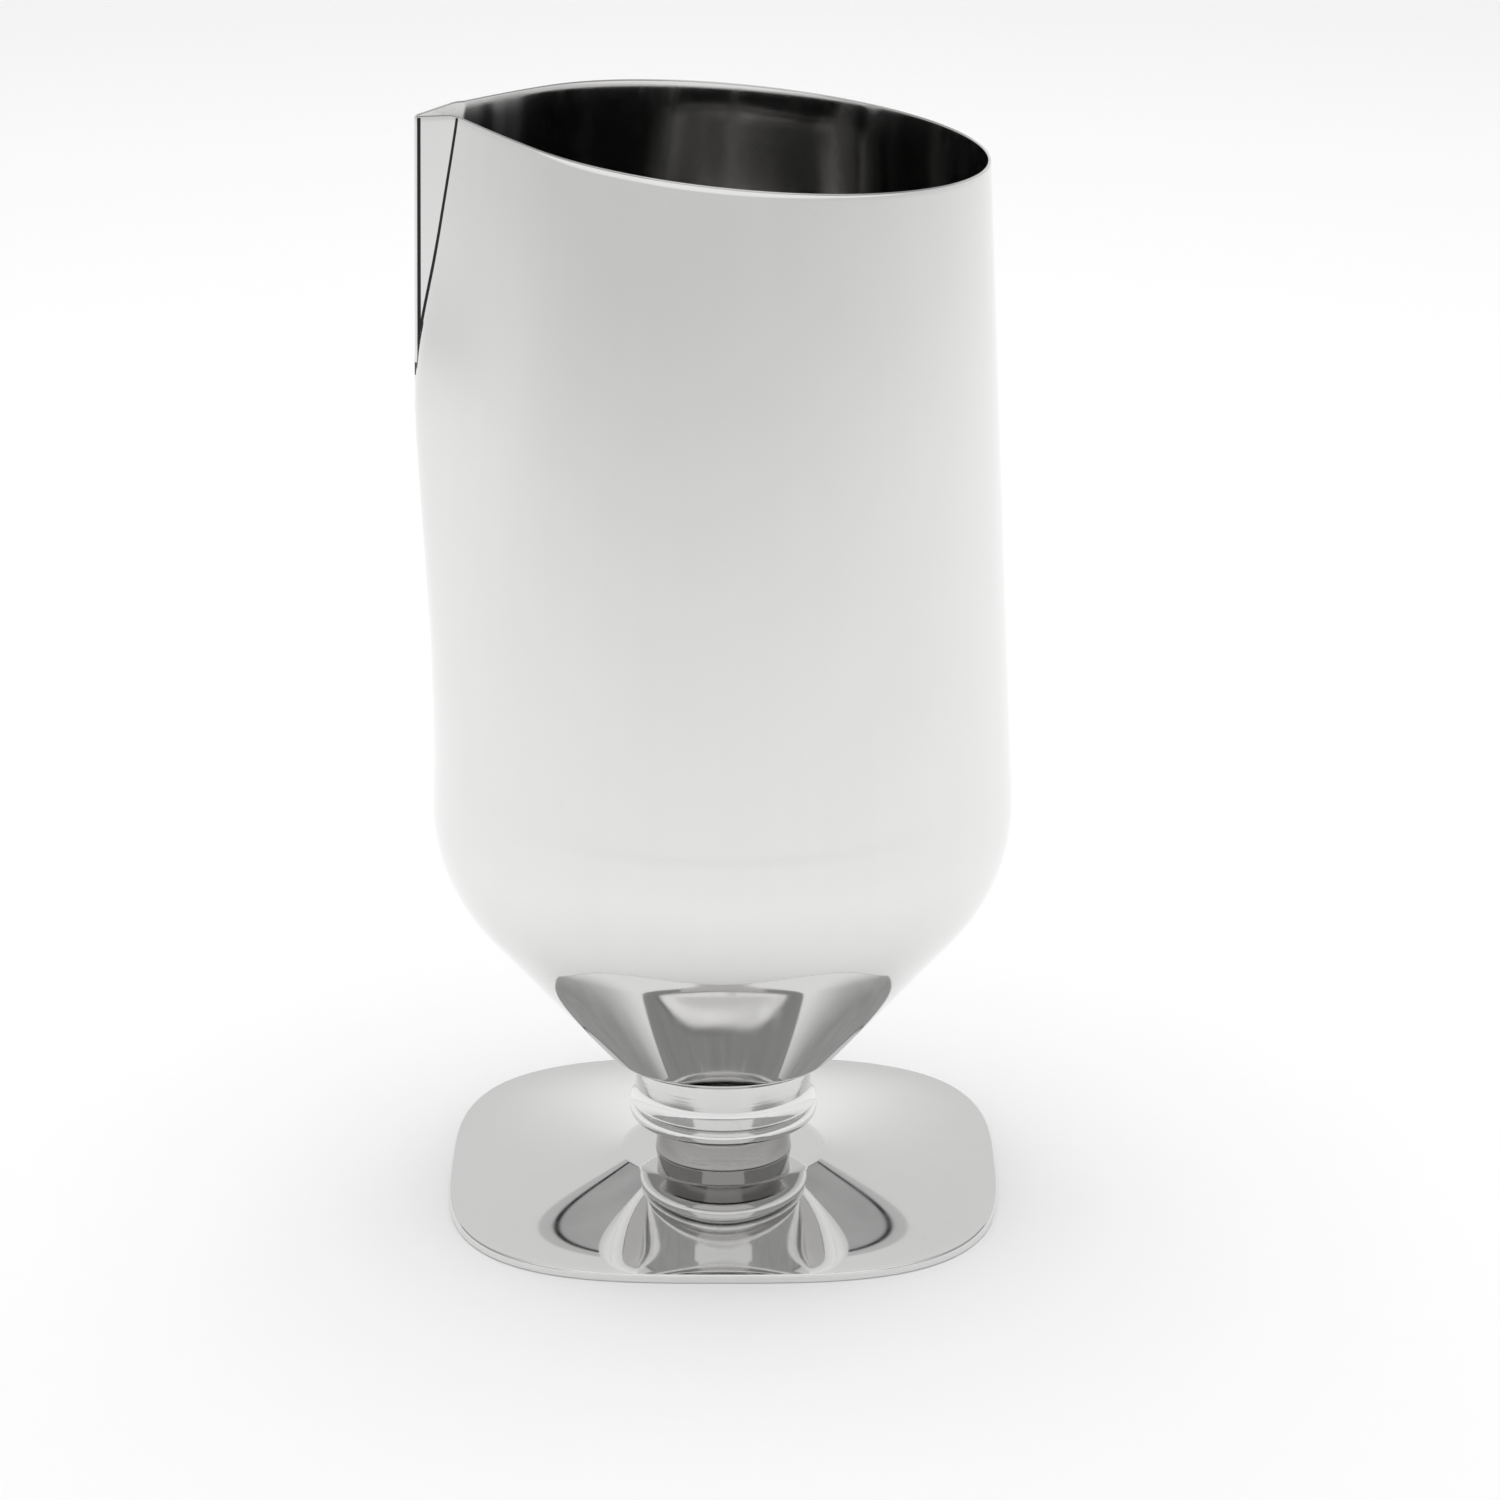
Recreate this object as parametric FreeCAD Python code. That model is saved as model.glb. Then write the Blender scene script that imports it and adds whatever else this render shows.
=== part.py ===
"""Footed bar mixing cup, built as the eight pieces the real one is made of.

Frame: origin at the centre of the underside of the foot, +Z up, spout towards -X.
All lengths are millimetres. The stack from the table up is: fixing screw, lock washer,
plain washer, foot, neck, collar, mounting boss, bowl.
"""
import FreeCAD, Part
import math
import os

Vec = FreeCAD.Vector

# ---------------------------------------------------------------- driving dimensions
# bowl: a spun cup, round at the shoulder and pinched into a spout at the rim
WALL = 0.9                      # sheet thickness of the bowl
SHOULDER_R = 44.5               # radius where the wall meets the shoulder arc
SHOULDER_Z = 63.3               # height of that joint
SHOULDER_ARC = 27.6             # radius of the shoulder arc
WALL_LEAN = math.radians(2.7)   # the wall leans inwards going up
CONE_ANGLE = math.radians(40.9) # cone half angle, from the axis
BASE_Z = 20.0                   # underside of the bowl
BASE_ROUND = 6.0                # round between the cone and the flat underside
BASE_CONE_R = 15.0              # the cone line passes through this radius ...
BASE_CONE_Z = 17.7              # ... at this height
LOFT_TOP_Z = 180.0              # the wall is made taller than this and then trimmed

# the round part of the wall drifts away from the spout as it rises
RIM_DRIFT = 2.4                 # drift of the round part's centre at the rim
RIM_Z = 166.4                   # rim height on the axis
RIM_SLOPE = 0.093               # the rim climbs towards the spout, mm per mm
LIP_X = -39.6                   # beyond this the spout lip dips again
LIP_SLOPE = 0.20

# egg nose: (height, how far the nose reaches from the axis, nose radius)
EGG = (
    (63.3, 44.5, 44.5), (67.0, 44.33, 44.33), (74.0, 44.25, 40.0), (84.0, 44.45, 32.0),
    (96.0, 44.95, 22.0), (108.0, 45.6, 14.5), (118.0, 46.05, 10.5), (126.0, 46.2, 8.0),
    (132.0, 45.75, 7.0), (138.0, 44.8, 6.4), (146.0, 43.6, 5.8), (156.0, 42.5, 5.2),
    (168.0, 41.4, 4.6), (180.0, 40.6, 4.2),
)
SECTION_POINTS = 60             # points round each wall section

# beak: two flat facets meeting in a narrow rounded fold
BEAK_HALF_ANGLE = math.radians(38.0)
BEAK_NOSE = 1.25                # radius of the fold, outside
BEAK_LOW_Z = 124.0
BEAK_LOW_X = -46.2
BEAK_HIGH_X = -45.1             # at LOFT_TOP_Z
BEAK_ROOT_X = -28.0             # the facets end inside the wall

# foot: a rounded square plate, drawn up gently towards the neck
FOOT_HALF = 43.0
FOOT_POWER = 3.14               # 2 would be a circle, large values a square
FOOT_EDGE = 1.4                 # height of the edge
FOOT_SHEET = 1.0
FOOT_HEM = 3.0                  # width of the thickened edge
FOOT_SEAT_Z = 4.2               # top of the foot under the neck
FOOT_SEAT_R = 15.8               # flat round middle that the neck stands on
FOOT_RISE_POWER = 1.9           # how quickly the rise fades away from the flat middle
REGISTER_R = 8.5                # raised centre that locates the neck
REGISTER_H = 1.6

# neck and collar: turned pieces
NECK_R = 10.7
NECK_TOP_Z = 9.9
NECK_WAIST = 0.25
SPIGOT_R = 8.0
SPIGOT_H = 2.0
COLLAR_R = 13.7
COLLAR_FLARE_Z = 12.5
COLLAR_FLARE_R = 14.6
COLLAR_FLARE_TOP_Z = 15.2
BEAD_R = 1.3                    # section radius of the bead
BEAD_RING_R = 13.4

# fixing: one screw pulls the whole stack together
THREAD_R = 2.5
CLEARANCE_R = 2.7
BOSS_R = 8.0
BOSS_Z = 13.0
BOSS_HOLE_TOP_Z = 18.8
WASHER_R = 6.6
WASHER_T = 0.8
LOCK_R = 4.6
LOCK_T = 1.1
LOCK_GAP = 0.9
HEAD_R = 4.7
HEAD_T = 1.9
HEAD_EDGE = 0.5
SOCKET_R = 1.75                 # corner radius of the hexagon socket
SOCKET_DEPTH = 1.1
SCREW_TOP_Z = 17.9


# ---------------------------------------------------------------- small helpers
def interpolate_rows(rows, z):
    """Value columns of a (z, a, b) table at height z, straight between the rows."""
    for low, high in zip(rows, rows[1:]):
        if z <= high[0]:
            break
    share = (z - low[0]) / (high[0] - low[0])
    return [a + (b - a) * share for a, b in zip(low[1:], high[1:])]


def revolve(points):
    """Solid of revolution about Z from a closed outline of (radius, height) corners."""
    corners = [Vec(r, 0, z) for r, z in points]
    face = Part.Face(Part.makePolygon(corners + corners[:1]))
    return face.revolve(Vec(0, 0, 0), Vec(0, 0, 1), 360)


def ring(outer, inner, low, high):
    """Plain ring between two heights."""
    body = Part.makeCylinder(outer, high - low, Vec(0, 0, low))
    return body.cut(Part.makeCylinder(inner, high - low, Vec(0, 0, low)))


def arc(centre, radius, start, middle, end):
    """Arc in the XZ plane; the angles are measured from +X towards +Z."""
    spots = [
        Vec(centre[0] + radius * math.cos(a), 0, centre[1] + radius * math.sin(a))
        for a in (start, middle, end)
    ]
    return Part.Arc(*spots).toShape()


# ---------------------------------------------------------------- bowl
def lower_bowl(inset):
    """Shoulder, cone and base as one solid of revolution, moved inwards by inset."""
    shoulder_c = (
        SHOULDER_R - SHOULDER_ARC * math.cos(WALL_LEAN),
        SHOULDER_Z - SHOULDER_ARC * math.sin(WALL_LEAN),
    )
    shoulder = arc(
        shoulder_c, SHOULDER_ARC - inset, WALL_LEAN, -CONE_ANGLE / 2, -CONE_ANGLE
    )
    round_z = BASE_Z + BASE_ROUND
    run = (round_z - BASE_CONE_Z) * math.tan(CONE_ANGLE)
    round_c = (BASE_CONE_R + run - BASE_ROUND / math.cos(CONE_ANGLE), round_z)
    middle = -(CONE_ANGLE + math.pi / 2) / 2
    base = arc(round_c, BASE_ROUND - inset, -CONE_ANGLE, middle, -math.pi / 2)

    top = Vec(SHOULDER_R - inset, 0, SHOULDER_Z)
    wall_end = shoulder.Vertexes[0].Point
    cone_top = shoulder.Vertexes[-1].Point
    cone_low = base.Vertexes[0].Point
    floor = base.Vertexes[-1].Point
    wall = [Part.makeLine(top, wall_end)] if inset else []
    outline = Part.Wire([
        Part.makeLine(Vec(0, 0, top.z), top),
        *wall,
        shoulder,
        Part.makeLine(cone_top, cone_low),
        base,
        Part.makeLine(floor, Vec(0, 0, floor.z)),
        Part.makeLine(Vec(0, 0, floor.z), Vec(0, 0, top.z)),
    ])
    return Part.Face(outline).revolve(Vec(0, 0, 0), Vec(0, 0, 1), 360)


def egg_radius(z, angle, inset):
    """Distance from the axis to the egg outline at one height, in one direction.

    The outline is the tight band round two circles: the round part of the wall, whose
    centre has drifted away from the spout, and the small nose circle on the spout side.
    """
    reach, nose = interpolate_rows(EGG, z)
    rise = max(0.0, (z - SHOULDER_Z) / (RIM_Z - SHOULDER_Z))
    drift = RIM_DRIFT * rise ** 1.5
    big = SHOULDER_R - (z - SHOULDER_Z) * math.tan(WALL_LEAN) - drift
    nose = min(nose, big)
    nose_x = -(reach - nose)
    big, nose = big - inset, nose - inset
    best = 0.0
    steps = 24
    for k in range(steps + 1):
        share = k / steps
        centre = drift + (nose_x - drift) * share
        radius = big + (nose - big) * share
        across = centre * math.sin(angle)
        if abs(across) < radius:
            along = centre * math.cos(angle)
            best = max(best, along + math.sqrt(radius * radius - across * across))
    return best


def egg_wire(z, inset):
    """Closed smooth section of the wall at one height; a true circle at the shoulder."""
    if z == SHOULDER_Z:
        circle = Part.Circle(Vec(0, 0, z), Vec(0, 0, 1), SHOULDER_R - inset)
        return Part.Wire(circle.toShape())
    spots = []
    for k in range(SECTION_POINTS):
        angle = 2 * math.pi * k / SECTION_POINTS
        r = egg_radius(z, angle, inset)
        spots.append(Vec(r * math.cos(angle), r * math.sin(angle), z))
    curve = Part.BSplineCurve()
    curve.interpolate(spots, PeriodicFlag=True)
    return Part.Wire(curve.toShape())


def upper_bowl(inset):
    """Egg-shaped wall from the shoulder up, as a solid."""
    return Part.makeLoft([egg_wire(row[0], inset) for row in EGG], True, False)


def beak_wire(z, tip_x, inset):
    """V-shaped section of the beak: two straight facets and a rounded nose."""
    nose = BEAK_NOSE - inset
    centre_x = tip_x + BEAK_NOSE
    sin_a, cos_a = math.sin(BEAK_HALF_ANGLE), math.cos(BEAK_HALF_ANGLE)
    touch = Vec(centre_x - nose * sin_a, nose * cos_a, z)
    root_y = touch.y + (BEAK_ROOT_X - touch.x) * math.tan(BEAK_HALF_ANGLE)
    mirror = Vec(touch.x, -touch.y, z)
    tip = Vec(centre_x - nose, 0, z)
    root_far = Vec(BEAK_ROOT_X, root_y, z)
    root_near = Vec(BEAK_ROOT_X, -root_y, z)
    return Part.Wire([
        Part.makeLine(root_far, touch),
        Part.Arc(touch, tip, mirror).toShape(),
        Part.makeLine(mirror, root_near),
        Part.makeLine(root_near, root_far),
    ])


def beak(inset):
    """The beak as a solid that reaches from inside the wall to the fold."""
    wires = [
        beak_wire(BEAK_LOW_Z, BEAK_LOW_X, inset),
        beak_wire(LOFT_TOP_Z, BEAK_HIGH_X, inset),
    ]
    return Part.makeLoft(wires, True, True)


def cup_body(inset):
    """Whole cup shape, outside skin for inset 0 and inside skin for inset WALL."""
    return upper_bowl(inset).fuse(beak(inset)).fuse(lower_bowl(inset))


def trim_block(x_low, x_high, slope, pivot_x):
    """Everything above a rim plane that rises towards -X by slope."""
    above = LOFT_TOP_Z + 20.0
    wide = 2 * SHOULDER_R

    def plane_z(x):
        rim_at_pivot = RIM_Z - RIM_SLOPE * pivot_x
        return rim_at_pivot - slope * (x - pivot_x)

    corners = [
        Vec(x_low, -wide, plane_z(x_low)), Vec(x_high, -wide, plane_z(x_high)),
        Vec(x_high, -wide, above), Vec(x_low, -wide, above),
    ]
    face = Part.Face(Part.makePolygon(corners + corners[:1]))
    return face.extrude(Vec(0, 2 * wide, 0))


def make_bowl():
    """Thin-walled cup: outside minus inside, trimmed to the slanted rim and the lip."""
    rim = trim_block(-2 * SHOULDER_R, 2 * SHOULDER_R, RIM_SLOPE, 0.0)
    lip = trim_block(-2 * SHOULDER_R, LIP_X, -LIP_SLOPE, LIP_X)
    return cup_body(0.0).cut(cup_body(WALL)).cut(rim).cut(lip)


# ---------------------------------------------------------------- foot
def foot_wire(share, z, half):
    """Closed section of the foot: a circle at the seat (0) turning into the edge (1)."""
    spots = []
    for k in range(SECTION_POINTS):
        angle = 2 * math.pi * k / SECTION_POINTS
        c, s = abs(math.cos(angle)), abs(math.sin(angle))
        edge = half / (c ** FOOT_POWER + s ** FOOT_POWER) ** (1 / FOOT_POWER)
        r = FOOT_SEAT_R + (edge - FOOT_SEAT_R) * share
        spots.append(Vec(r * math.cos(angle), r * math.sin(angle), z))
    curve = Part.BSplineCurve()
    curve.interpolate(spots, PeriodicFlag=True)
    return Part.Wire(curve.toShape())


def foot_rise(half, lower):
    """Solid under the drawn-up skin of the foot, from the edge to the flat middle."""
    shares = (1.0, 0.88, 0.76, 0.64, 0.52, 0.4, 0.28, 0.18, 0.09, 0.0)
    wires = []
    for share in shares:
        lift = (FOOT_SEAT_Z - FOOT_EDGE) * (1 - share) ** FOOT_RISE_POWER
        wires.append(foot_wire(share, FOOT_EDGE + lift - lower, half))
    return Part.makeLoft(wires, True, False)


def make_foot():
    """Pressed plate: edge band, drawn-up skin, raised register and screw hole."""
    edge = Part.Face(foot_wire(1.0, 0.0, FOOT_HALF)).extrude(Vec(0, 0, FOOT_EDGE))
    top = foot_rise(FOOT_HALF, 0.0)
    root = FOOT_SEAT_Z - FOOT_EDGE
    register = Part.makeCylinder(REGISTER_R, REGISTER_H + FOOT_EDGE, Vec(0, 0, root))
    solid = edge.fuse([top, register])

    inner_half = FOOT_HALF - FOOT_HEM
    step = FOOT_EDGE - FOOT_SHEET
    hollow_low = Part.Face(foot_wire(1.0, 0.0, inner_half)).extrude(Vec(0, 0, step))
    hollow_top = foot_rise(inner_half, FOOT_SHEET)
    register_in = REGISTER_R - FOOT_SHEET
    pocket = Part.makeCylinder(register_in, FOOT_SEAT_Z + REGISTER_H - FOOT_SHEET)
    hole = Part.makeCylinder(CLEARANCE_R, FOOT_SEAT_Z + REGISTER_H)
    return solid.cut(hollow_low.fuse([hollow_top, pocket, hole]))


# ---------------------------------------------------------------- turned pieces
def make_neck():
    """Waisted spacer with a recess below for the foot and a spigot above."""
    seat = FOOT_SEAT_Z
    waist = NECK_R - NECK_WAIST
    side = Part.Arc(
        Vec(NECK_R, 0, seat), Vec(waist, 0, (seat + NECK_TOP_Z) / 2), Vec(NECK_R, 0, NECK_TOP_Z)
    ).toShape()
    outline = Part.Wire([
        Part.makeLine(Vec(0, 0, seat), Vec(NECK_R, 0, seat)),
        side,
        Part.makeLine(Vec(NECK_R, 0, NECK_TOP_Z), Vec(0, 0, NECK_TOP_Z)),
        Part.makeLine(Vec(0, 0, NECK_TOP_Z), Vec(0, 0, seat)),
    ])
    body = Part.Face(outline).revolve(Vec(0, 0, 0), Vec(0, 0, 1), 360)
    spigot = Part.makeCylinder(SPIGOT_R, SPIGOT_H, Vec(0, 0, NECK_TOP_Z))
    recess = Part.makeCylinder(REGISTER_R, REGISTER_H, Vec(0, 0, seat))
    bore = Part.makeCylinder(CLEARANCE_R, NECK_TOP_Z + SPIGOT_H)
    return body.fuse(spigot).cut(recess.fuse(bore))


def make_collar():
    """Turned collar: straight under the bowl, flaring into a half-round bead."""
    straight_top = Vec(COLLAR_R, 0, BASE_Z)
    flare_start = Vec(COLLAR_R, 0, COLLAR_FLARE_TOP_Z)
    flare_end = Vec(COLLAR_FLARE_R, 0, COLLAR_FLARE_Z)
    flare_mid = Vec(COLLAR_R + 0.22, 0, (COLLAR_FLARE_TOP_Z + COLLAR_FLARE_Z) / 2)
    outline = Part.Wire([
        Part.makeLine(Vec(SPIGOT_R, 0, BASE_Z), straight_top),
        Part.makeLine(straight_top, flare_start),
        Part.Arc(flare_start, flare_mid, flare_end).toShape(),
        Part.makeLine(flare_end, Vec(BEAD_RING_R, 0, COLLAR_FLARE_Z)),
        Part.makeLine(Vec(BEAD_RING_R, 0, COLLAR_FLARE_Z), Vec(BEAD_RING_R, 0, NECK_TOP_Z)),
        Part.makeLine(Vec(BEAD_RING_R, 0, NECK_TOP_Z), Vec(SPIGOT_R, 0, NECK_TOP_Z)),
        Part.makeLine(Vec(SPIGOT_R, 0, NECK_TOP_Z), Vec(SPIGOT_R, 0, BASE_Z)),
    ])
    body = Part.Face(outline).revolve(Vec(0, 0, 0), Vec(0, 0, 1), 360)
    bead = Part.makeTorus(BEAD_RING_R, BEAD_R, Vec(0, 0, NECK_TOP_Z + BEAD_R))
    return body.fuse(bead)


def make_boss():
    """Tapped disc brazed under the bowl; the screw pulls on it."""
    body = Part.makeCylinder(BOSS_R, BASE_Z - BOSS_Z, Vec(0, 0, BOSS_Z))
    hole = Part.makeCylinder(THREAD_R, BOSS_HOLE_TOP_Z - BOSS_Z, Vec(0, 0, BOSS_Z))
    return body.cut(hole)


# ---------------------------------------------------------------- fixing
WASHER_TOP_Z = FOOT_SEAT_Z + REGISTER_H - FOOT_SHEET
LOCK_TOP_Z = WASHER_TOP_Z - WASHER_T
HEAD_TOP_Z = LOCK_TOP_Z - LOCK_T
HEAD_LOW_Z = HEAD_TOP_Z - HEAD_T


def make_lock_washer():
    """Split spring washer, pressed flat."""
    body = ring(LOCK_R, CLEARANCE_R, HEAD_TOP_Z, LOCK_TOP_Z)
    gap = Part.makeBox(LOCK_R * 2, LOCK_GAP, LOCK_T, Vec(0, -LOCK_GAP / 2, HEAD_TOP_Z))
    return body.cut(gap)


def make_screw():
    """Low-head screw with a hexagon socket, head down."""
    head = revolve([
        (0, HEAD_LOW_Z), (HEAD_R - HEAD_EDGE, HEAD_LOW_Z), (HEAD_R, HEAD_LOW_Z + HEAD_EDGE),
        (HEAD_R, HEAD_TOP_Z), (0, HEAD_TOP_Z),
    ])
    shank = Part.makeCylinder(THREAD_R, SCREW_TOP_Z - HEAD_TOP_Z, Vec(0, 0, HEAD_TOP_Z))
    corners = [
        Vec(SOCKET_R * math.cos(k * math.pi / 3), SOCKET_R * math.sin(k * math.pi / 3), HEAD_LOW_Z)
        for k in range(7)
    ]
    socket = Part.Face(Part.makePolygon(corners)).extrude(Vec(0, 0, SOCKET_DEPTH))
    return head.fuse(shank).cut(socket)


# ---------------------------------------------------------------- export
PIECES = {
    "bowl": make_bowl(),
    "mounting_boss": make_boss(),
    "collar": make_collar(),
    "neck": make_neck(),
    "foot": make_foot(),
    "plain_washer": ring(WASHER_R, CLEARANCE_R, LOCK_TOP_Z, WASHER_TOP_Z),
    "lock_washer": make_lock_washer(),
    "fixing_screw": make_screw(),
}

os.makedirs("parts", exist_ok=True)
for name, shape in PIECES.items():
    shape = shape.removeSplitter()
    if shape.ShapeType == "Compound" and len(shape.Solids) == 1:
        shape = shape.Solids[0]
    shape.exportStep("parts/" + name + ".step")
    box = shape.BoundBox
    print(
        name, shape.ShapeType, "valid", shape.isValid(), "solids", len(shape.Solids),
        "faces", len(shape.Faces), "volume", round(shape.Volume, 1),
        "x", round(box.XMin, 2), round(box.XMax, 2), "z", round(box.ZMin, 2), round(box.ZMax, 2),
    )
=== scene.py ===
# %% [markdown]
# # A polished mixing cup on a foot
#
# This notebook-style script builds the visual model of a bar mixing cup: a spun metal bowl with a
# pinched spout, a turned collar, a short neck and a pressed foot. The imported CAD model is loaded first
# and stays fixed. The four pieces that show are then modelled again as smooth surfaces, because a
# mirror finish shows every facet of a coarse mesh. The screw, the washers and the boss stay as they
# are and only get their finish.

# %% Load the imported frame
import math

import bpy
import numpy as np
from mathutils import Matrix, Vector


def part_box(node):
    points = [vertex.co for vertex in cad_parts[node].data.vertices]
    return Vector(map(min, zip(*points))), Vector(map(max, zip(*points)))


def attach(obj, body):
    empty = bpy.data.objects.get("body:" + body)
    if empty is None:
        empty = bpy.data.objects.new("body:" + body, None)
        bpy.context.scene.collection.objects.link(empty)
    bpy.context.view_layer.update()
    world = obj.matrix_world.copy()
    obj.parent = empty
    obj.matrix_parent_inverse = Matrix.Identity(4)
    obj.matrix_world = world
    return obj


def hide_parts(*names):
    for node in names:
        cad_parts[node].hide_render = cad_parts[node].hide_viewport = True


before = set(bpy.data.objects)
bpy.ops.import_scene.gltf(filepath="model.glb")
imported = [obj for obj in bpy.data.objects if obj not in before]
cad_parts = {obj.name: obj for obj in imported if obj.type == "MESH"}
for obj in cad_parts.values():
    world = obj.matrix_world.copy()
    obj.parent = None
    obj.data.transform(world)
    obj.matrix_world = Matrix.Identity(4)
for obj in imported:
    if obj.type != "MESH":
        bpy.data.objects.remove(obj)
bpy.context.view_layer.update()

scene = bpy.context.scene
MM = 0.001

# %% [markdown]
# ## Driving dimensions
#
# Heights and radii come from the CAD boxes where a box gives them. The rest are the few shape values
# that a box can't hold: angles, arc radii and the way the bowl changes from a circle to a teardrop.

# %% Sizes read from the frame, in millimetres
def box_mm(node):
    """Lowest and highest corner of a CAD node in millimetres."""
    low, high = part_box(node)
    return np.array(low) / MM, np.array(high) / MM


bowl_low, bowl_high = box_mm("bowl")
collar_low, collar_high = box_mm("collar")
neck_low, neck_high = box_mm("neck")
foot_low, foot_high = box_mm("foot")

BASE_Z = float(bowl_low[2])
COLLAR_LOW_Z = float(collar_low[2])
FOOT_HALF = float(foot_high[0])
print("bowl", bowl_low.round(2), bowl_high.round(2))
print("collar", collar_low.round(2), collar_high.round(2))
print("neck", neck_low.round(2), neck_high.round(2))
print("foot", foot_low.round(2), foot_high.round(2))

# %% [markdown]
# ## A helper that turns a grid of points into a mesh
#
# Every piece here is a grid: rows run along the profile and columns run round the axis. Writing the
# whole grid into a mesh at once with `foreach_set` is fast, and one helper keeps all pieces alike.
# A turned ring closes on itself in both directions. The bowl instead starts and ends on the axis, and
# each end row becomes a single point with a fan of triangles, so that the pole is closed.

# %% Grid to mesh
def ring_faces(rows, columns, wrap):
    """Corner numbers of the quads between neighbouring rows; with wrap the last row meets the first."""
    r = np.arange(rows if wrap else rows - 1)[:, None]
    above = (r + 1) % rows
    c = np.arange(columns)[None, :]
    after = (c + 1) % columns
    quads = [r * columns + c, r * columns + after, above * columns + after, above * columns + c]
    return np.stack(quads, axis=-1).reshape(-1, 4)


def fill_mesh(name, points, quads, triangles):
    """Mesh from points in millimetres and two arrays of corner numbers."""
    corners = np.concatenate([quads.ravel(), triangles.ravel()]).astype(np.int32)
    sizes = np.concatenate([np.full(len(quads), 4), np.full(len(triangles), 3)])
    starts = np.concatenate([[0], np.cumsum(sizes)[:-1]]).astype(np.int32)
    mesh = bpy.data.meshes.new(name)
    mesh.vertices.add(len(points))
    mesh.vertices.foreach_set("co", (points * MM).ravel())
    mesh.loops.add(len(corners))
    mesh.loops.foreach_set("vertex_index", corners)
    mesh.polygons.add(len(sizes))
    mesh.polygons.foreach_set("loop_start", starts)
    mesh.update(calc_edges=True)
    mesh.validate()
    mesh.shade_smooth()
    return mesh


def ring_mesh(name, grid):
    """Ring with a closed section, from an array (rows, columns, xyz) that wraps both ways."""
    rows, columns = grid.shape[:2]
    no_triangles = np.zeros((0, 3), int)
    return fill_mesh(name, grid.reshape(-1, 3), ring_faces(rows, columns, True), no_triangles)


def capped_mesh(name, grid):
    """Closed skin whose first and last row lie on the axis and become one point each."""
    rows, columns = grid.shape[:2]
    points = np.vstack([grid[1:-1].reshape(-1, 3), grid[0, :1], grid[-1, :1]])
    first_pole = (rows - 2) * columns
    ring = np.arange(columns)
    after = (ring + 1) % columns
    top = (rows - 3) * columns
    start_fan = np.stack([np.full(columns, first_pole), after, ring], axis=-1)
    end_fan = np.stack([np.full(columns, first_pole + 1), top + ring, top + after], axis=-1)
    fans = np.vstack([start_fan, end_fan])
    return fill_mesh(name, points, ring_faces(rows - 2, columns, False), fans)


def add_piece(name, mesh, node):
    """Put a mesh in the scene as the piece that stands for one CAD node."""
    piece = bpy.data.objects.new(name, mesh)
    scene.collection.objects.link(piece)
    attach(piece, "root")
    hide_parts(node)
    faces = len(mesh.polygons)
    print(f"{name}: {len(mesh.vertices)} points, {faces} faces, stands for {node}")
    return piece


# %% [markdown]
# ## Profiles for turned pieces
#
# The collar, the neck and the lower half of the bowl are solids of revolution. Each has a profile of
# straight runs and arcs. The profile is a list of points (radius, height), and an arc is given by its
# centre, radius and two angles, so that it stays exact however finely it is divided.

# %% Profile helpers
def run(start, end, count):
    """Straight run from start to end, without its last point."""
    share = np.linspace(0.0, 1.0, count, endpoint=False)[:, None]
    return np.array(start) + (np.array(end) - np.array(start)) * share


def bend(centre, radius, start_deg, end_deg, count):
    """Arc of a circle: centre + radius * (cos a, sin a) for a from start to end."""
    angle = np.radians(np.linspace(start_deg, end_deg, count))
    return np.array(centre) + radius * np.stack([np.cos(angle), np.sin(angle)], axis=-1)


def turned(profile, columns):
    """Grid of a solid of revolution: each profile point goes round the axis."""
    angle = np.linspace(0.0, 2 * np.pi, columns, endpoint=False)
    r, z = profile[:, 0, None], profile[:, 1, None]
    return np.stack(np.broadcast_arrays(r * np.cos(angle), r * np.sin(angle), z), axis=-1)


# %% [markdown]
# ## The bowl's lower half
#
# The real bowl is spun over a former: a small flat base, a rounded corner, a cone, and a wide shoulder
# arc that meets the wall. The cone is tangent to both arcs, so the two arc centres follow from the cone
# angle. The inside is the same profile moved inwards by the sheet thickness.

# %% Lower profile of the bowl
WALL = 0.9
SHOULDER_R, SHOULDER_Z, SHOULDER_ARC = 44.5, 63.3, 27.6
WALL_LEAN, CONE_ANGLE = 2.7, 40.9
BASE_ROUND = 6.0
CONE_POINT = (15.0, 17.7)


def bowl_profile(inset):
    """Base centre to shoulder as (radius, height) points, moved inwards by inset."""
    lean, cone = math.radians(WALL_LEAN), math.radians(CONE_ANGLE)
    shoulder = (
        SHOULDER_R - SHOULDER_ARC * math.cos(lean),
        SHOULDER_Z - SHOULDER_ARC * math.sin(lean),
    )
    corner_z = BASE_Z + BASE_ROUND
    corner_r = CONE_POINT[0] + (corner_z - CONE_POINT[1]) * math.tan(cone)
    corner = (corner_r - BASE_ROUND / math.cos(cone), corner_z)
    base = bend(corner, BASE_ROUND - inset, -90, -CONE_ANGLE, 20)
    side = bend(shoulder, SHOULDER_ARC - inset, -CONE_ANGLE, WALL_LEAN, 40)
    floor = run((0.0, base[0, 1]), base[0], 6)
    cone_run = run(base[-1], side[0], 24)
    return np.vstack([floor, base[:-1], cone_run, side])


# %% [markdown]
# ## The bowl's wall: an outline from its support function
#
# Above the shoulder the wall is an egg: a large round part that leans away from the spout, a small nose
# on the spout side, and nearly straight sides between them. A handy way to describe such an outline is
# its *support function* h(a), the distance from the axis to the tangent line whose normal points in
# direction a. A circle of radius R centred at c has h = R + c cos a. Taking a smooth maximum of two
# circles gives the tight band round both, with no sudden change of curvature, and a mirror finish needs
# that. The outline's point is then h n + h' t, where n is the normal and t the tangent.

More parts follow.
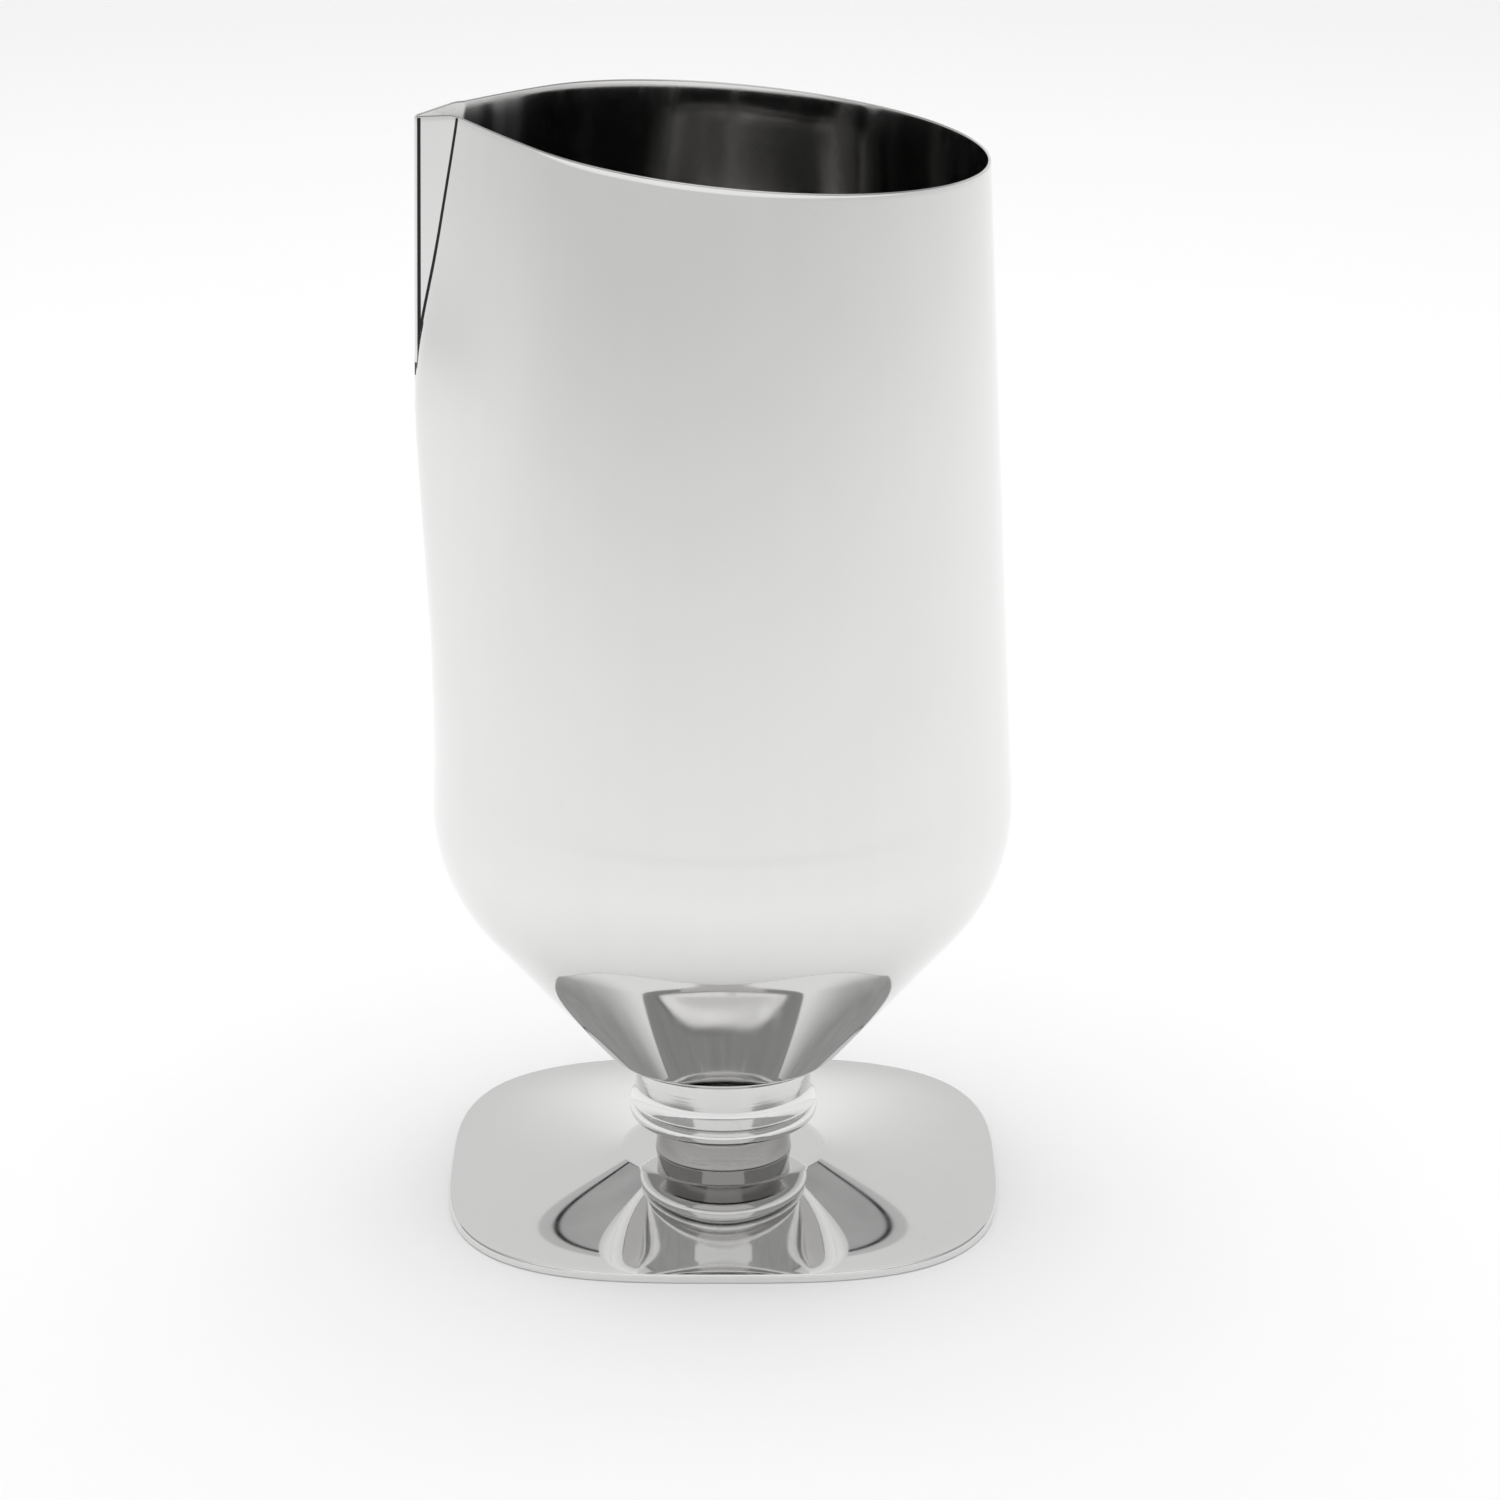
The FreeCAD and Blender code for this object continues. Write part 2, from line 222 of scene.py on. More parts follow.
# %% Egg outline
RIM_DRIFT, RIM_Z, RIM_SLOPE = 2.4, 166.4, 0.093
LIP_X, LIP_SLOPE = -39.6, 0.20
BLEND = 0.55
EGG_Z = np.array([63.3, 67, 74, 84, 96, 108, 118, 126, 132, 138, 146, 156, 168, 180])
EGG_REACH = np.array([44.5, 44.33, 44.2, 44.35, 44.85, 45.5, 45.95,
                      46.1, 45.7, 44.8, 43.6, 42.5, 41.4, 40.6])
EGG_NOSE = np.array([44.5, 44.33, 40, 32, 22, 14.5, 10.5,
                     8.0, 7.0, 6.4, 5.8, 5.2, 4.6, 4.2])
HALVINGS = 40
BLEND_REACH = 20.0


def smooth_curve(knots, values, at):
    """Natural cubic spline through the knots: the second derivatives solve one linear system."""
    gap = np.diff(knots)
    slope = np.diff(values) / gap
    count = len(knots)
    system = np.eye(count)
    target = np.zeros(count)
    inner = np.arange(1, count - 1)
    system[inner, inner - 1] = gap[:-1]
    system[inner, inner] = 2 * (gap[:-1] + gap[1:])
    system[inner, inner + 1] = gap[1:]
    target[inner] = 6 * np.diff(slope)
    second = np.linalg.solve(system, target)
    k = np.clip(np.searchsorted(knots, at) - 1, 0, count - 2)
    a = (knots[k + 1] - at) / gap[k]
    b = 1 - a
    cubic = ((a**3 - a) * second[k] + (b**3 - b) * second[k + 1]) * gap[k] ** 2 / 6
    return a * values[k] + b * values[k + 1] + cubic


def wall_circles(z):
    """Radius and centre of the round part, and radius and centre of the nose, at height z."""
    rise = np.clip((z - SHOULDER_Z) / (RIM_Z - SHOULDER_Z), 0.0, None)
    drift = RIM_DRIFT * rise**1.5
    big = SHOULDER_R - (z - SHOULDER_Z) * math.tan(math.radians(WALL_LEAN)) - drift
    nose = np.minimum(smooth_curve(EGG_Z, EGG_NOSE, z), big)
    reach = smooth_curve(EGG_Z, EGG_REACH, z)
    return big, drift, nose, reach - nose


def egg_point(z, normal_angle, inset):
    """Point of the egg outline whose normal makes the given angle with the spout direction.

    h = soft maximum of (big - drift cos a) and (nose + centre cos a), less the inset.
    The spout direction is -X; the side coordinate is positive for positive angles.
    """
    big, drift, nose, centre = wall_circles(z)
    cos_a, sin_a = np.cos(normal_angle), np.sin(normal_angle)
    first, second = big - drift * cos_a, nose + centre * cos_a
    ease = BLEND * np.clip((z - SHOULDER_Z) / BLEND_REACH, 1e-3, 1.0)
    weight = 1 / (1 + np.exp(-(second - first) / ease))
    h = first + ease * np.logaddexp(0.0, (second - first) / ease) - inset
    dh = sin_a * ((1 - weight) * drift - weight * centre)
    forward = h * cos_a - dh * sin_a
    side = h * sin_a + dh * cos_a
    return forward, side


def egg_radius(z, bearing, inset):
    """Distance from the axis to the egg in a direction, found by halving on the normal angle."""
    low, high = np.zeros_like(bearing + z), np.full_like(bearing + z, np.pi)
    for _ in range(HALVINGS):
        middle = (low + high) / 2
        forward, side = egg_point(z, middle, inset)
        past = np.arctan2(side, forward) > bearing
        high = np.where(past, middle, high)
        low = np.where(past, low, middle)
    forward, side = egg_point(z, (low + high) / 2, inset)
    return np.hypot(forward, side)


# %% [markdown]
# ## The spout's beak
#
# The spout is pinched with a tool that leaves two flat facets and a narrow rounded fold between them.
# The outline of the beak in a direction is where a ray from the axis meets the facet line, or the fold's
# small circle near the tip. The wall is whichever lies further out, egg or beak, and the two meet in a
# crisp crease that starts as a rounded point and widens towards the rim.

# %% Beak outline
BEAK_ANGLE = math.radians(38.0)
BEAK_NOSE = 1.25
BEAK_LOW_Z, BEAK_LOW_REACH = 124.0, 46.2
BEAK_TOP_Z, BEAK_TOP_REACH = 180.0, 45.1
CREASE_LIMIT, CREASE_STEPS = 0.35, 1401
BEAK_LIMIT = 0.6


def beak_parts(z, inset):
    """Fold radius, fold centre and facet line distance at height z."""
    share = (z - BEAK_LOW_Z) / (BEAK_TOP_Z - BEAK_LOW_Z)
    reach = BEAK_LOW_REACH + (BEAK_TOP_REACH - BEAK_LOW_REACH) * share
    return BEAK_NOSE - inset, reach - BEAK_NOSE


def beak_radius(z, bearing, inset):
    """Distance from the axis to the beak: facet line, or fold circle inside the fold's bearing."""
    fold, centre = beak_parts(z, inset)
    line = centre * math.sin(BEAK_ANGLE) + fold
    facet = line / np.sin(BEAK_ANGLE + bearing)
    across = centre * np.sin(bearing)
    circle = centre * np.cos(bearing) + np.sqrt(np.clip(fold**2 - across**2, 0.0, None))
    return np.where(bearing < fold_bearing(z, inset), circle, facet)


def fold_bearing(z, inset):
    """Direction in which the fold's circle hands over to the flat facet."""
    fold, centre = beak_parts(z, inset)
    return np.arctan2(fold * math.cos(BEAK_ANGLE), centre + fold * math.sin(BEAK_ANGLE))


def crease_bearing(z, inset):
    """Last direction in which the beak is further out than the egg, for an array of heights."""
    bearing = np.linspace(0.0, CREASE_LIMIT, CREASE_STEPS)[None, :]
    height = z[:, None]
    outside = beak_radius(height, bearing, inset) > egg_radius(height, bearing, inset)
    outside &= height > BEAK_LOW_Z
    last = outside.shape[1] - 1 - np.argmax(outside[:, ::-1], axis=1)
    return np.where(outside.any(axis=1), bearing[0, last], 0.0)


# %% [markdown]
# ## The wall as a grid
#
# Rows follow the height up to the slanted rim. Columns are pinned to the fold and the crease, so the
# crease is an edge line of the mesh and stays sharp. Beside each of them runs a strip a few tenths of a
# millimetre wide, which carries a painted dark line of shade along the fold and the crease. The rim
# height depends on the radius and the radius on the height, so a few passes settle both.

# %% Rim height and column bearings
FOLD_COLUMNS, FACET_COLUMNS, WALL_COLUMNS = 6, 10, 84
LINE_HALF = 0.005
LEAST_GAP = 3 * LINE_HALF
RIM_ROUND = 0.25
ROW_EASE = 0.12
COLUMN_EVEN, COLUMN_POWER = 0.25, 1.6
RIM_PASSES = 6


def rim_height(x):
    """Top of the straight wall: a plane climbing towards the spout, dipping beyond LIP_X."""
    plane = RIM_Z - RIM_ROUND - RIM_SLOPE * x
    at_lip = RIM_Z - RIM_ROUND - RIM_SLOPE * LIP_X
    return np.where(x < LIP_X, at_lip - LIP_SLOPE * (LIP_X - x), plane)


def half_bearings(z, inset):
    """Bearings of the columns on one side, from the tip (0) round to the back (pi)."""
    fold = fold_bearing(z, inset)
    crease = np.maximum(crease_bearing(z, inset), fold + LEAST_GAP)
    a = np.linspace(0.0, 1.0, FOLD_COLUMNS + 1)
    b = np.linspace(0.0, 1.0, FACET_COLUMNS)
    c = np.linspace(0.0, 1.0, WALL_COLUMNS)
    c = COLUMN_EVEN * c + (1 - COLUMN_EVEN) * c**COLUMN_POWER
    fold, crease = fold[:, None], crease[:, None]
    return np.hstack([
        fold * a,
        fold + 2 * LINE_HALF + (crease - fold - 3 * LINE_HALF) * b,
        crease,
        crease + LINE_HALF + (np.pi - crease - LINE_HALF) * c,
    ])


def full_ring(half):
    """Both sides of the ring from one side: columns anticlockwise seen from above."""
    mirrored = -half[:, 1:-1][:, ::-1]
    return np.hstack([half, mirrored])


# %% Wall points
def wall_grid(inset, rows):
    """Wall from the shoulder to the rim on one skin of the bowl."""
    share = np.linspace(0.0, 1.0, rows)
    share = share + ROW_EASE * np.sin(2 * np.pi * share) / (2 * np.pi)
    tip_top = rim_height(np.array(-BEAK_TOP_REACH))
    tip_z = SHOULDER_Z + (tip_top - SHOULDER_Z) * share
    ring = full_ring(half_bearings(tip_z, inset))
    bearing = np.abs(ring)
    top = np.full_like(ring[0], RIM_Z)
    for _ in range(RIM_PASSES):
        radius = wall_radius(top, bearing[-1], inset)
        top = rim_height(-radius * np.cos(bearing[-1]))
    z = SHOULDER_Z + (top[None, :] - SHOULDER_Z) * share[:, None]
    radius = wall_radius(z, bearing, inset)
    return np.stack([-radius * np.cos(ring), -radius * np.sin(ring), z], axis=-1)


def wall_radius(z, bearing, inset):
    """Egg or beak, whichever is further out; the beak only counts above its lower end."""
    egg = egg_radius(z, bearing, inset)
    beak = beak_radius(z, np.minimum(bearing, BEAK_LIMIT), inset)
    beak = np.where((z > BEAK_LOW_Z) & (bearing < BEAK_LIMIT), beak, 0.0)
    return np.maximum(egg, beak)


# %% [markdown]
# ## Closing the bowl
#
# The outside, a small rounded rim and the inside are stacked into one grid, so the bowl is a closed
# sheet of real thickness. The lower profile is carried round on the same column bearings as the first
# row of the wall, and the two parts share that row. Trimming and polishing thin the sheet at the rim, so
# the inside moves outwards over its last few millimetres and the edge that shows is finer.

# %% Bowl mesh
RIM_ROUND_ROWS = 7
EDGE_TAPER, TAPER_DEPTH = 0.5, 5.0
OUTSIDE_ROWS, INSIDE_ROWS = 150, 110
BOWL_SHARP = 28


def skin(inset, rows):
    """Base centre to rim on one skin: the turned part and the wall stacked together."""
    wall = wall_grid(inset, rows)
    ring = np.arctan2(wall[0, :, 1], wall[0, :, 0])
    profile = bowl_profile(inset)[:-1]
    r, z = profile[:, 0, None], profile[:, 1, None]
    lower = np.stack(np.broadcast_arrays(r * np.cos(ring), r * np.sin(ring), z), axis=-1)
    return np.vstack([lower, wall])


def rim_rows(outer, inner):
    """Half-round rim between the two skins: half a turn about the middle of the wall's edge."""
    middle, reach = (outer + inner) / 2, (outer - inner) / 2
    rise = np.linalg.norm(reach, axis=-1)[:, None] * np.array([0.0, 0.0, 1.0])
    turn = np.linspace(0.0, np.pi, RIM_ROUND_ROWS + 2)[1:-1, None, None]
    return middle + reach * np.cos(turn) + rise * np.sin(turn)


def thin_edge(outer, inner):
    """Inner skin pushed outwards near the rim: share = taper * (1 - depth / TAPER_DEPTH)^2."""
    depth = inner[-1, :, 2] - inner[..., 2]
    share = EDGE_TAPER * np.clip(1 - depth / TAPER_DEPTH, 0.0, 1.0) ** 2
    return inner + share[..., None] * (outer[-1] - inner[-1])


outside = skin(0.0, OUTSIDE_ROWS)
inside = thin_edge(outside, skin(WALL, INSIDE_ROWS))
lift = rim_rows(outside[-1], inside[-1])
bowl_grid = np.vstack([outside, lift, inside[::-1]])
print("rim top", bowl_grid[..., 2].max().round(3), "CAD top", bowl_high[2].round(3))
bowl = add_piece("cup_bowl", capped_mesh("cup_bowl", bowl_grid), "bowl")
bowl.data.set_sharp_from_angle(angle=math.radians(BOWL_SHARP))

# %% [markdown]
# ## Collar
#
# The collar is turned on a lathe: straight under the bowl, then a hollow flare, then a small groove and
# a half-round bead. It is a ring, bored to sit on the neck's spigot, so its section is one closed loop
# carried round the axis. Tiny roundings on the corners catch light as real turned edges do.

# %% Collar mesh
BEAD_R, BEAD_RING_R = 1.3, 13.4
COLLAR_R, FLARE_R = 13.7, 14.6
FLARE_Z, FLARE_TOP_Z = 12.5, 15.2
SPIGOT_R, SPIGOT_H = 8.0, 2.0
TURNED_COLUMNS = 200
TURNED_SHARP = 50


def hollow(start, end, depth, count):
    """Curve from start to end that bows towards the axis by depth: a straight run less a parabola."""
    share = np.linspace(0.0, 1.0, count)[:, None]
    line = np.array(start) + (np.array(end) - np.array(start)) * share
    line[:, :1] -= depth * 4 * share * (1 - share)
    return line


bead_z = COLLAR_LOW_Z + BEAD_R
collar_section = np.vstack([
    run((SPIGOT_R, COLLAR_LOW_Z), (BEAD_RING_R, COLLAR_LOW_Z), 6),
    bend((BEAD_RING_R, bead_z), BEAD_R, -90, 80, 30),
    bend((BEAD_RING_R + 0.5, FLARE_Z + 0.2), 0.2, -100, -180, 4),
    bend((FLARE_R - 0.2, FLARE_Z + 0.35), 0.2, -90, 0, 5),
    hollow((FLARE_R, FLARE_Z + 0.45), (COLLAR_R, FLARE_TOP_Z), 0.16, 20),
    run((COLLAR_R, FLARE_TOP_Z + 0.1), (COLLAR_R, BASE_Z - 0.25), 12),
    bend((COLLAR_R - 0.25, BASE_Z - 0.25), 0.25, 0, 90, 5),
    run((COLLAR_R - 0.5, BASE_Z), (SPIGOT_R, BASE_Z), 5),
    run((SPIGOT_R, BASE_Z), (SPIGOT_R, COLLAR_LOW_Z), 6),
])
collar_mesh = ring_mesh("turned_collar", turned(collar_section, TURNED_COLUMNS))
collar = add_piece("turned_collar", collar_mesh, "collar")
collar.data.set_sharp_from_angle(angle=math.radians(TURNED_SHARP))

# %% [markdown]
# ## Neck
#
# The neck is a short spacer with a very slight waist. It has a recess below, which drops over the raised
# register of the foot, a spigot above, which centres the collar, and a bore for the screw.

# %% Neck mesh
NECK_R, NECK_WAIST = 10.7, 0.25
REGISTER_R, REGISTER_H, BORE_R = 8.5, 1.6, 2.7
seat_z = float(foot_high[2]) - REGISTER_H
recess_z = seat_z + REGISTER_H
spigot_z = COLLAR_LOW_Z + SPIGOT_H
neck_section = np.vstack([
    run((BORE_R, recess_z), (REGISTER_R, recess_z), 5),
    run((REGISTER_R, recess_z), (REGISTER_R, seat_z), 4),
    run((REGISTER_R, seat_z), (NECK_R - 0.15, seat_z), 4),
    bend((NECK_R - 0.15, seat_z + 0.15), 0.15, -90, 0, 4),
    hollow((NECK_R, seat_z + 0.2), (NECK_R, COLLAR_LOW_Z), NECK_WAIST, 30),
    run((NECK_R - 0.1, COLLAR_LOW_Z), (SPIGOT_R, COLLAR_LOW_Z), 4),
    run((SPIGOT_R, COLLAR_LOW_Z), (SPIGOT_R, spigot_z), 4),
    run((SPIGOT_R, spigot_z), (BORE_R, spigot_z), 5),
    run((BORE_R, spigot_z), (BORE_R, recess_z), 6),
])
neck = add_piece("waisted_neck", ring_mesh("waisted_neck", turned(neck_section, TURNED_COLUMNS)),
                 "neck")
neck.data.set_sharp_from_angle(angle=math.radians(TURNED_SHARP))

# %% [markdown]
# ## Foot
#
# The foot is pressed from sheet. Seen from above its edge is a Lame curve, a rounded square, and its
# middle is a flat disc. Every row between blends circle and square. The height falls from the disc to
# the edge by a power law, steepest next to the disc, and the edge turns up by a hair, as a pressed sheet
# does where it meets its hem. Only a mirror shows such small slopes, and here they shape every
# reflection on the foot.

# %% Foot outline and skin
FOOT_POWER, FOOT_EDGE, FOOT_SHEET, FOOT_HEM = 3.14, 1.4, 1.0, 3.0
FOOT_SEAT_R, FOOT_RISE_POWER = 15.8, 1.9
FOOT_TURN_UP, FOOT_TURN_POWER = 0.22, 6.0
FOOT_COLUMNS = 280
EDGE_ROUND = 0.3
FOOT_SHARP = 30
foot_angle = np.linspace(0.0, 2 * np.pi, FOOT_COLUMNS, endpoint=False)


def lame_radius(half):
    """Radius of |x|^n + |y|^n = half^n in each direction."""
    across, along = np.abs(np.cos(foot_angle)), np.abs(np.sin(foot_angle))
    return half / (across**FOOT_POWER + along**FOOT_POWER) ** (1 / FOOT_POWER)


def foot_rows(share, half, lowered):
    """Rows of skin: radius blends disc to edge; height = edge + rise * (1 - s)^p - dip.

    The dip keeps the edge height and lets the skin pass slightly below it: up * s^a * (1 - s^b).
    """
    edge = lame_radius(half)
    s = share[:, None]
    r = FOOT_SEAT_R + (edge - FOOT_SEAT_R) * s
    rise = (seat_z - FOOT_EDGE) * (1 - s) ** FOOT_RISE_POWER
    dip = FOOT_TURN_UP * s**1.5 * (1 - s**FOOT_TURN_POWER)
    z = np.broadcast_to(FOOT_EDGE + rise - dip - lowered, r.shape)
    return np.stack([r * np.cos(foot_angle), r * np.sin(foot_angle), z], axis=-1)


def edge_rows(inward, z):
    """Rows that follow the edge outline, each moved inwards and set at its own height."""
    rows = [lame_radius(FOOT_HALF - step) for step in inward]
    r = np.array(rows)
    z = np.broadcast_to(np.array(z)[:, None], r.shape)
    return np.stack([r * np.cos(foot_angle), r * np.sin(foot_angle), z], axis=-1)


# %% [markdown]
# The section of the foot runs once round the sheet: up the screw hole, over the register and down the
# top skin, round the edge, along the flat hem on which the cup stands, and back under the skin.

# %% Foot mesh
corner_turn = np.radians(np.linspace(0.0, 90.0, 6))
early, late = EDGE_ROUND * (1 - np.cos(corner_turn)), EDGE_ROUND * (1 - np.sin(corner_turn))
skin_share = np.linspace(0.0, 1.0, 64)
top_share = skin_share * (1 - EDGE_ROUND / 28.0)
register_top = seat_z + REGISTER_H
pocket_r, pocket_z = REGISTER_R - FOOT_SHEET, register_top - FOOT_SHEET
foot_grid = np.vstack([
    turned(np.array([(BORE_R, pocket_z), (BORE_R, register_top)]), FOOT_COLUMNS),
    turned(run((REGISTER_R - 2, register_top), (REGISTER_R, register_top), 3), FOOT_COLUMNS),
    turned(np.array([(REGISTER_R, register_top), (REGISTER_R, seat_z)]), FOOT_COLUMNS),
    turned(run((10.0, seat_z), (FOOT_SEAT_R - 0.05, seat_z), 5), FOOT_COLUMNS),
    foot_rows(top_share, FOOT_HALF, 0.0),
    edge_rows(late, FOOT_EDGE - early),
    edge_rows(early, late),
    edge_rows([1.2, FOOT_HEM], [0.0, 0.0]),
    foot_rows(skin_share[::-1], FOOT_HALF - FOOT_HEM, FOOT_SHEET),
    turned(np.array([(10.0, seat_z - FOOT_SHEET), (pocket_r, seat_z - FOOT_SHEET)]), FOOT_COLUMNS),
    turned(np.array([(pocket_r, pocket_z)]), FOOT_COLUMNS),
])[::-1]
foot = add_piece("pressed_foot", ring_mesh("pressed_foot", foot_grid), "foot")
foot.data.set_sharp_from_angle(angle=math.radians(FOOT_SHARP))

# %% [markdown]
# ## Node helpers
#
# Materials and the studio surroundings are built from nodes. Two small helpers keep the cells short: one
# joins a socket to a value or to another socket, and one adds a Math node and returns its result.

# %% Node helpers
def plug(tree, socket, source):
    """Give an input socket a plain value, or link it when the source is a socket."""
    if isinstance(source, bpy.types.NodeSocket):
        tree.links.new(source, socket)
    else:
        socket.default_value = source


def calc(tree, operation, *inputs):
    """Add a Math node; inputs are numbers or sockets."""
    node = tree.nodes.new("ShaderNodeMath")
    node.operation = operation
    for socket, source in zip(node.inputs, inputs):
        plug(tree, socket, source)
    return node.outputs[0]


def spread(tree, value, low, high, to_low, to_high):
    """Smooth step: value going from low to high gives to_low to to_high."""
    node = tree.nodes.new("ShaderNodeMapRange")
    node.interpolation_type = "SMOOTHSTEP"
    for socket, source in zip(node.inputs, (value, low, high, to_low, to_high)):
        plug(tree, socket, source)
    return node.outputs[0]


def noise(tree, vector, scale, detail=3.0, stretch=(1.0, 1.0, 1.0)):
    """Noise of about -1 to 1, stretched along the axes by a Mapping node."""
    mapping = tree.nodes.new("ShaderNodeMapping")
    mapping.inputs["Scale"].default_value = stretch
    tree.links.new(vector, mapping.inputs["Vector"])
    node = tree.nodes.new("ShaderNodeTexNoise")
    tree.links.new(mapping.outputs[0], node.inputs["Vector"])
    node.inputs["Scale"].default_value = scale
    node.inputs["Detail"].default_value = detail
    return calc(tree, "MULTIPLY_ADD", node.outputs["Fac"], 2.0, -1.0)


# %% [markdown]
# ## Handling marks, shared by every finish
#
# Polished metal is never a perfect mirror. Wiping leaves soft patches that are a little duller, and use
# leaves hair-thin scratches. One node group makes both once. It gives a roughness and a tint that vary
# over the surface, and every material places it with its own amounts.

# %% Handling marks group
def handling_marks():
    """Group: Roughness, Patchiness and Scratches in; Roughness, Tint and Height out."""
    group = bpy.data.node_groups.new("handling_marks", "ShaderNodeTree")
    for label, value in (("Base Roughness", 0.05), ("Patchiness", 0.03), ("Scratches", 0.3)):
        socket = group.interface.new_socket(name=label, in_out="INPUT", socket_type="NodeSocketFloat")
        socket.default_value = value
    for label in ("Roughness", "Tint", "Height"):
        group.interface.new_socket(name=label, in_out="OUTPUT", socket_type="NodeSocketFloat")
    given = group.nodes.new("NodeGroupInput")
    result = group.nodes.new("NodeGroupOutput")
    place = group.nodes.new("ShaderNodeTexCoord").outputs["Object"]

    cloud = noise(group, place, 38.0, 4.0)
    streak = noise(group, place, 260.0, 2.0, (1.0, 1.0, 0.06))
    wipe = calc(group, "MULTIPLY_ADD", streak, 0.5, cloud)
    patch = spread(group, wipe, -0.9, 1.1, 0.0, 1.0)
    duller = calc(group, "MULTIPLY", patch, given.outputs["Patchiness"])

    hair = noise(group, place, 900.0, 1.0, (1.0, 0.12, 0.35))
    line = spread(group, calc(group, "ABSOLUTE", hair), 0.0, 0.035, 1.0, 0.0)
    sparse = spread(group, noise(group, place, 120.0, 1.0), 0.25, 0.5, 0.0, 1.0)
    scratch = calc(group, "MULTIPLY", calc(group, "MULTIPLY", line, sparse), given.outputs["Scratches"])

    rough = calc(group, "ADD", given.outputs["Base Roughness"], duller)
    rough = calc(group, "MULTIPLY_ADD", scratch, 0.12, rough)
    tint = calc(group, "MULTIPLY_ADD", patch, -0.035, 1.0)
    tint = calc(group, "MULTIPLY_ADD", scratch, -0.10, tint)
    group.links.new(rough, result.inputs["Roughness"])
    group.links.new(tint, result.inputs["Tint"])
    group.links.new(scratch, result.inputs["Height"])
    return group


marks_group = handling_marks()
print("group", marks_group.name, [item.name for item in marks_group.interface.items_tree])

# %% [markdown]
# ## Turning marks
#
# The collar, the boss and the small hardware come off a lathe. The tool leaves fine level rings, so the
# roughness and the height change with the height on the piece and with the radius, and hardly at all
# round the axis. That is noise in which level distances are shrunk almost to nothing.

# %% Turning marks group
def turning_marks():
    """Group: Ring Density in; Rings out, -1 to 1, a noise of height and radius only."""
    group = bpy.data.node_groups.new("turning_marks", "ShaderNodeTree")
    socket = group.interface.new_socket(name="Ring Density", in_out="INPUT", socket_type="NodeSocketFloat")
    socket.default_value = 2200.0
    group.interface.new_socket(name="Rings", in_out="OUTPUT", socket_type="NodeSocketFloat")
    given = group.nodes.new("NodeGroupInput")
    result = group.nodes.new("NodeGroupOutput")
    split = group.nodes.new("ShaderNodeSeparateXYZ")
    group.links.new(group.nodes.new("ShaderNodeTexCoord").outputs["Object"], split.inputs[0])
    x, y, z = split.outputs
    squares = calc(group, "ADD", calc(group, "POWER", x, 2.0), calc(group, "POWER", y, 2.0))
    radius = calc(group, "SQRT", squares)
    bearing = calc(group, "ARCTAN2", y, x)
    join = group.nodes.new("ShaderNodeCombineXYZ")
    plug(group, join.inputs[0], calc(group, "MULTIPLY", z, given.outputs["Ring Density"]))
    plug(group, join.inputs[1], calc(group, "MULTIPLY", radius, given.outputs["Ring Density"]))
    plug(group, join.inputs[2], calc(group, "MULTIPLY", bearing, 0.35))
    rings = noise(group, join.outputs[0], 1.0, 4.0)
    group.links.new(rings, result.inputs["Rings"])
    return group


turning_group = turning_marks()
print("group", turning_group.name)

# %% [markdown]
# ## Metal finishes
#
# Each material is one Principled shader set to full metal. The groups feed its base colour and its
# roughness, and a Bump node turns the marks into very small dents. The steel is nearly colourless, with
# the faintest warmth, as polished stainless is beside white paper. Wiping a tall cup leaves duller bands
# that run straight up: a noise whose height is shrunk almost to nothing.

# %% Metal finish
STEEL = (0.805, 0.803, 0.798, 1.0)
LEAST_ROUGH = 0.015
DENT_DEPTH = 0.02 * MM
BAND_SCALE = 55.0


